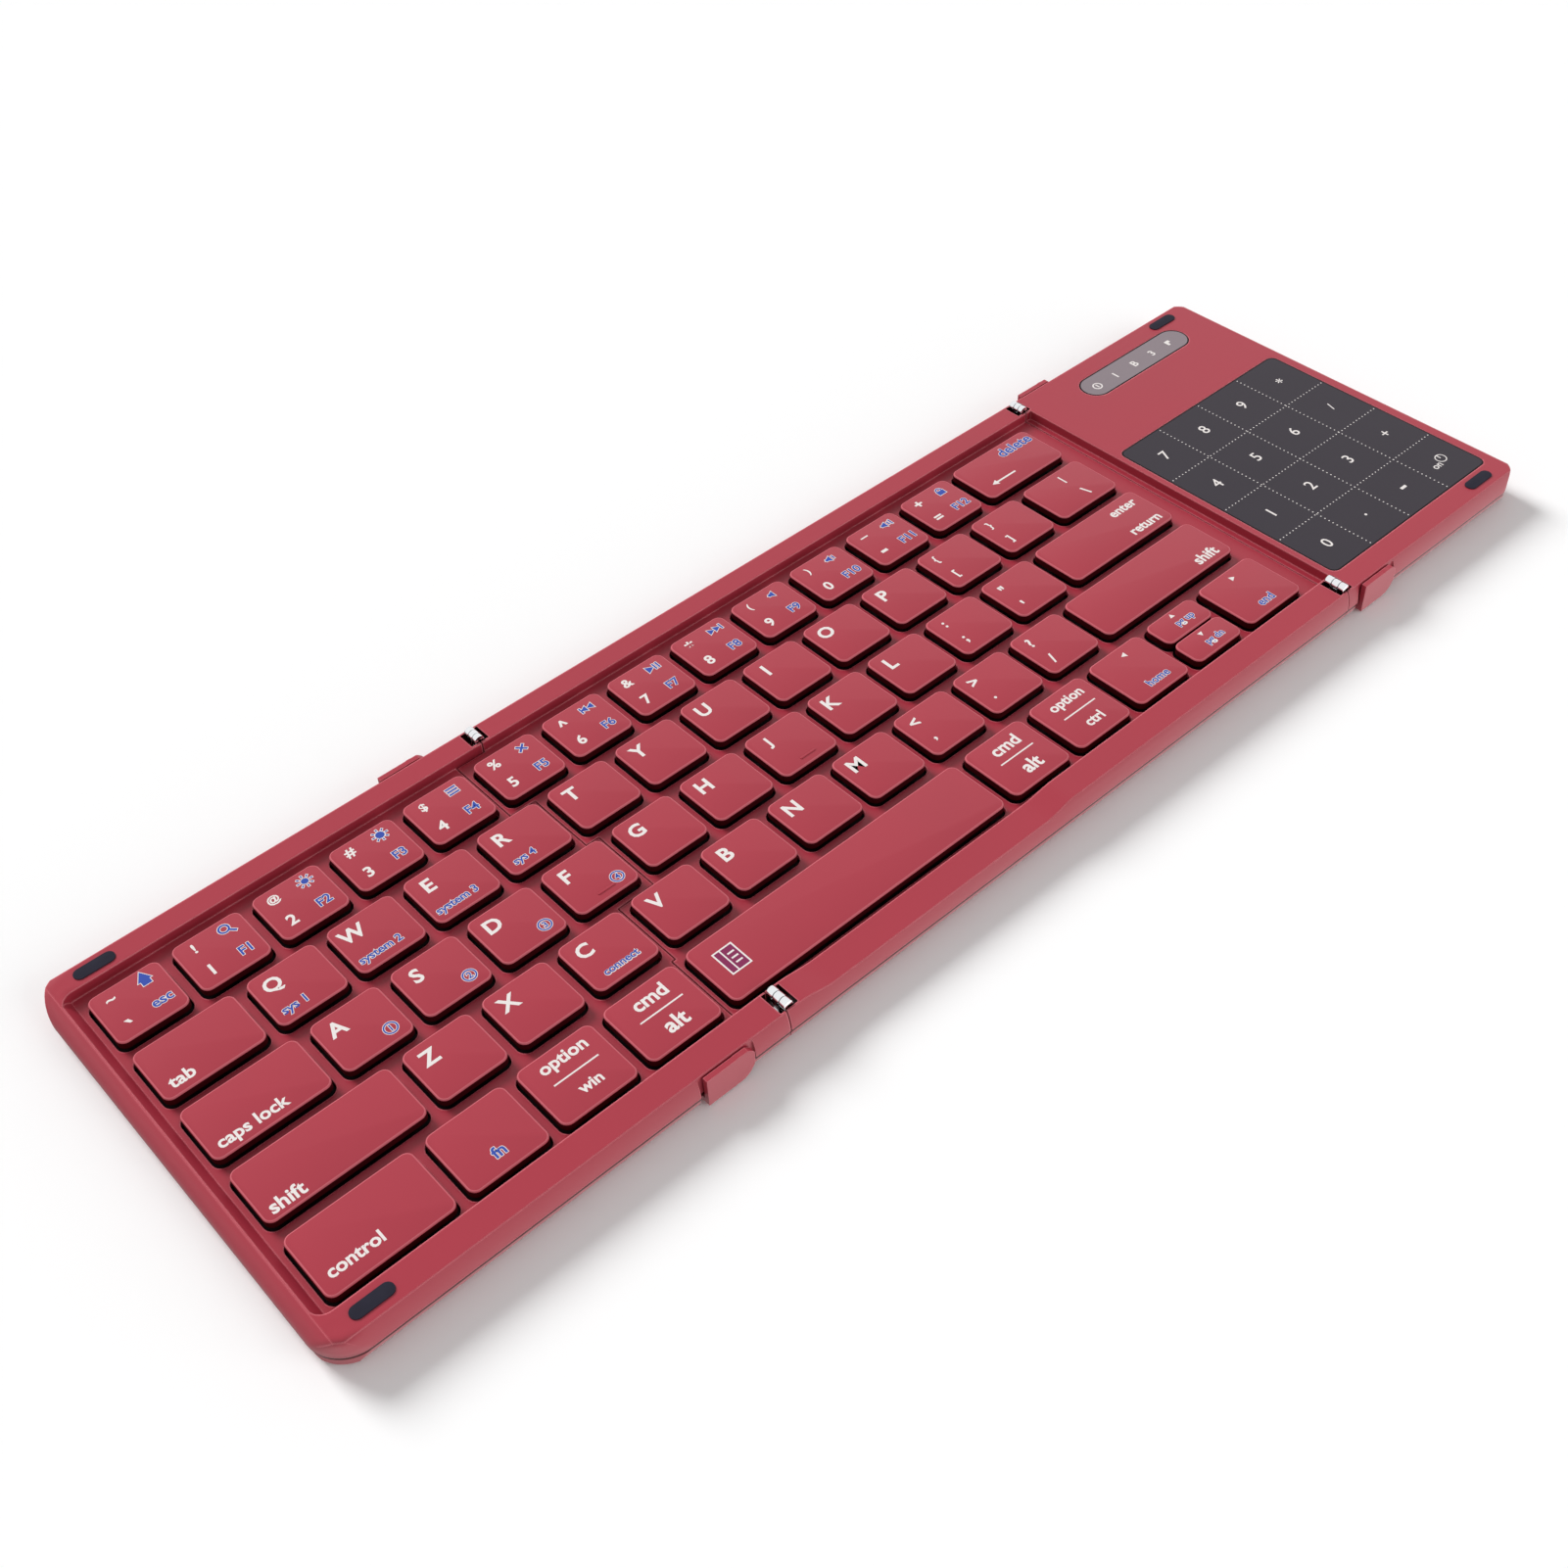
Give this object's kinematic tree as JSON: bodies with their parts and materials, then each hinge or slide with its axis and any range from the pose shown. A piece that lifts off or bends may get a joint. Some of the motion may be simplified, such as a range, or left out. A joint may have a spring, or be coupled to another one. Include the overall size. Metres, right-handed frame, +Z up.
{
  "type": "folding keyboard",
  "caption": "Thin tri-fold keyboard with sprung flat keys, friction hinges in its rims, flip-out stands and a touch number pad on the end panel.",
  "frame": {"origin": "on the table under the middle of the open case", "axes": "+X along the keyboard to the touch pad's end, +Y away from the typist, +Z up"},
  "size_m": [0.338, 0.1072, 0.0094],
  "materials": {
    "case": "fine satin, moulded",
    "lower_case": "fine satin, moulded",
    "keycap": "smooth satin",
    "hinge": "bright",
    "rubber": "matte",
    "touch_surface": "satin",
    "indicator": "satin",
    "plate": "brushed",
    "cell": "foil pouch",
    "board": "lacquered board",
    "port": "plain"
  },
  "bodies": {
    "center_panel": {"center_bottom_shell": "lower_case", "center_deck": "case", "center_key_plate": "plate", "center_hinge_leaves": "hinge", "hinge_pins": "hinge", "center_feet": "rubber"},
    "left_panel": {"left_bottom_shell": "lower_case", "left_deck": "case", "left_key_plate": "plate", "left_hinge_leaves": "hinge", "left_bumpers": "rubber", "left_feet": "rubber"},
    "right_panel": {"right_bottom_shell": "lower_case", "right_top_shell": "case", "touch_glass": "touch_surface", "touch_board": "board", "indicator_window": "indicator", "battery": "cell", "main_board": "board", "charge_port": "port", "right_hinge_leaves": "hinge", "right_bumpers": "rubber", "right_feet": "rubber"},
    "left_stand": {"left_stand": "case"},
    "right_stand": {"right_stand": "case"},
    "key_q": {"key_q": "keycap"},
    "key_w": {"key_w": "keycap"},
    "key_e": {"key_e": "keycap"},
    "key_r": {"key_r": "keycap"},
    "key_a": {"key_a": "keycap"},
    "key_s": {"key_s": "keycap"},
    "key_d": {"key_d": "keycap"},
    "key_f": {"key_f": "keycap"},
    "key_z": {"key_z": "keycap"},
    "key_x": {"key_x": "keycap"},
    "key_c": {"key_c": "keycap"},
    "key_t": {"key_t": "keycap"},
    "key_y": {"key_y": "keycap"},
    "key_u": {"key_u": "keycap"},
    "key_i": {"key_i": "keycap"},
    "key_o": {"key_o": "keycap"},
    "key_p": {"key_p": "keycap"},
    "key_g": {"key_g": "keycap"},
    "key_h": {"key_h": "keycap"},
    "key_j": {"key_j": "keycap"},
    "key_k": {"key_k": "keycap"},
    "key_l": {"key_l": "keycap"},
    "key_v": {"key_v": "keycap"},
    "key_b": {"key_b": "keycap"},
    "key_n": {"key_n": "keycap"},
    "key_m": {"key_m": "keycap"},
    "key_tab": {"key_tab": "keycap"},
    "key_space": {"key_space": "keycap"},
    "key_enter": {"key_enter": "keycap"},
    "key_backspace": {"key_backspace": "keycap"},
    "keys_numbers_left": {"keys_numbers_left": "keycap"},
    "keys_numbers_center": {"keys_numbers_center": "keycap"},
    "keys_punctuation": {"keys_punctuation": "keycap"},
    "keys_modifiers_left": {"keys_modifiers_left": "keycap"},
    "keys_modifiers_right": {"keys_modifiers_right": "keycap"}
  },
  "joints": [
    {"name": "left_fold", "type": "hinge", "parent": "center_panel", "child": "left_panel", "pos_m": [-0.0666, 0, 0.0083], "axis": [0, 1, 0], "range_deg": [0, 180]},
    {"name": "right_fold", "type": "hinge", "parent": "center_panel", "child": "right_panel", "pos_m": [0.1028, 0, 0.0083], "axis": [0, -1, 0], "range_deg": [0, 180]},
    {"name": "left_stand_swing", "type": "hinge", "parent": "left_panel", "child": "left_stand", "pos_m": [-0.0809, 0, 0.0042], "axis": [0, -1, 0], "range_deg": [0, 90]},
    {"name": "right_stand_swing", "type": "hinge", "parent": "right_panel", "child": "right_stand", "pos_m": [0.1151, 0, 0.0042], "axis": [0, -1, 0], "range_deg": [0, 90]},
    {"name": "key_q_press", "type": "slide", "parent": "left_panel", "child": "key_q", "axis": [0, 0, -1], "range_m": [0, 0.0014], "stiffness_N_per_m": 250},
    {"name": "key_w_press", "type": "slide", "parent": "left_panel", "child": "key_w", "axis": [0, 0, -1], "range_m": [0, 0.0014], "stiffness_N_per_m": 250},
    {"name": "key_e_press", "type": "slide", "parent": "left_panel", "child": "key_e", "axis": [0, 0, -1], "range_m": [0, 0.0014], "stiffness_N_per_m": 250},
    {"name": "key_r_press", "type": "slide", "parent": "left_panel", "child": "key_r", "axis": [0, 0, -1], "range_m": [0, 0.0014], "stiffness_N_per_m": 250},
    {"name": "key_a_press", "type": "slide", "parent": "left_panel", "child": "key_a", "axis": [0, 0, -1], "range_m": [0, 0.0014], "stiffness_N_per_m": 250},
    {"name": "key_s_press", "type": "slide", "parent": "left_panel", "child": "key_s", "axis": [0, 0, -1], "range_m": [0, 0.0014], "stiffness_N_per_m": 250},
    {"name": "key_d_press", "type": "slide", "parent": "left_panel", "child": "key_d", "axis": [0, 0, -1], "range_m": [0, 0.0014], "stiffness_N_per_m": 250},
    {"name": "key_f_press", "type": "slide", "parent": "left_panel", "child": "key_f", "axis": [0, 0, -1], "range_m": [0, 0.0014], "stiffness_N_per_m": 250},
    {"name": "key_z_press", "type": "slide", "parent": "left_panel", "child": "key_z", "axis": [0, 0, -1], "range_m": [0, 0.0014], "stiffness_N_per_m": 250},
    {"name": "key_x_press", "type": "slide", "parent": "left_panel", "child": "key_x", "axis": [0, 0, -1], "range_m": [0, 0.0014], "stiffness_N_per_m": 250},
    {"name": "key_c_press", "type": "slide", "parent": "left_panel", "child": "key_c", "axis": [0, 0, -1], "range_m": [0, 0.0014], "stiffness_N_per_m": 250},
    {"name": "key_t_press", "type": "slide", "parent": "center_panel", "child": "key_t", "axis": [0, 0, -1], "range_m": [0, 0.0014], "stiffness_N_per_m": 250},
    {"name": "key_y_press", "type": "slide", "parent": "center_panel", "child": "key_y", "axis": [0, 0, -1], "range_m": [0, 0.0014], "stiffness_N_per_m": 250},
    {"name": "key_u_press", "type": "slide", "parent": "center_panel", "child": "key_u", "axis": [0, 0, -1], "range_m": [0, 0.0014], "stiffness_N_per_m": 250},
    {"name": "key_i_press", "type": "slide", "parent": "center_panel", "child": "key_i", "axis": [0, 0, -1], "range_m": [0, 0.0014], "stiffness_N_per_m": 250},
    {"name": "key_o_press", "type": "slide", "parent": "center_panel", "child": "key_o", "axis": [0, 0, -1], "range_m": [0, 0.0014], "stiffness_N_per_m": 250},
    {"name": "key_p_press", "type": "slide", "parent": "center_panel", "child": "key_p", "axis": [0, 0, -1], "range_m": [0, 0.0014], "stiffness_N_per_m": 250},
    {"name": "key_g_press", "type": "slide", "parent": "center_panel", "child": "key_g", "axis": [0, 0, -1], "range_m": [0, 0.0014], "stiffness_N_per_m": 250},
    {"name": "key_h_press", "type": "slide", "parent": "center_panel", "child": "key_h", "axis": [0, 0, -1], "range_m": [0, 0.0014], "stiffness_N_per_m": 250},
    {"name": "key_j_press", "type": "slide", "parent": "center_panel", "child": "key_j", "axis": [0, 0, -1], "range_m": [0, 0.0014], "stiffness_N_per_m": 250},
    {"name": "key_k_press", "type": "slide", "parent": "center_panel", "child": "key_k", "axis": [0, 0, -1], "range_m": [0, 0.0014], "stiffness_N_per_m": 250},
    {"name": "key_l_press", "type": "slide", "parent": "center_panel", "child": "key_l", "axis": [0, 0, -1], "range_m": [0, 0.0014], "stiffness_N_per_m": 250},
    {"name": "key_v_press", "type": "slide", "parent": "center_panel", "child": "key_v", "axis": [0, 0, -1], "range_m": [0, 0.0014], "stiffness_N_per_m": 250},
    {"name": "key_b_press", "type": "slide", "parent": "center_panel", "child": "key_b", "axis": [0, 0, -1], "range_m": [0, 0.0014], "stiffness_N_per_m": 250},
    {"name": "key_n_press", "type": "slide", "parent": "center_panel", "child": "key_n", "axis": [0, 0, -1], "range_m": [0, 0.0014], "stiffness_N_per_m": 250},
    {"name": "key_m_press", "type": "slide", "parent": "center_panel", "child": "key_m", "axis": [0, 0, -1], "range_m": [0, 0.0014], "stiffness_N_per_m": 250},
    {"name": "key_tab_press", "type": "slide", "parent": "left_panel", "child": "key_tab", "axis": [0, 0, -1], "range_m": [0, 0.0014], "stiffness_N_per_m": 250},
    {"name": "key_space_press", "type": "slide", "parent": "center_panel", "child": "key_space", "axis": [0, 0, -1], "range_m": [0, 0.0014], "stiffness_N_per_m": 250},
    {"name": "key_enter_press", "type": "slide", "parent": "center_panel", "child": "key_enter", "axis": [0, 0, -1], "range_m": [0, 0.0014], "stiffness_N_per_m": 250},
    {"name": "key_backspace_press", "type": "slide", "parent": "center_panel", "child": "key_backspace", "axis": [0, 0, -1], "range_m": [0, 0.0014], "stiffness_N_per_m": 250},
    {"name": "bank_numbers_left_press", "type": "slide", "parent": "left_panel", "child": "keys_numbers_left", "axis": [0, 0, -1], "range_m": [0, 0.0014], "stiffness_N_per_m": 250},
    {"name": "bank_numbers_center_press", "type": "slide", "parent": "center_panel", "child": "keys_numbers_center", "axis": [0, 0, -1], "range_m": [0, 0.0014], "stiffness_N_per_m": 250},
    {"name": "bank_punctuation_press", "type": "slide", "parent": "center_panel", "child": "keys_punctuation", "axis": [0, 0, -1], "range_m": [0, 0.0014], "stiffness_N_per_m": 250},
    {"name": "bank_modifiers_left_press", "type": "slide", "parent": "left_panel", "child": "keys_modifiers_left", "axis": [0, 0, -1], "range_m": [0, 0.0014], "stiffness_N_per_m": 250},
    {"name": "bank_modifiers_right_press", "type": "slide", "parent": "center_panel", "child": "keys_modifiers_right", "axis": [0, 0, -1], "range_m": [0, 0.0014], "stiffness_N_per_m": 250}
  ]
}
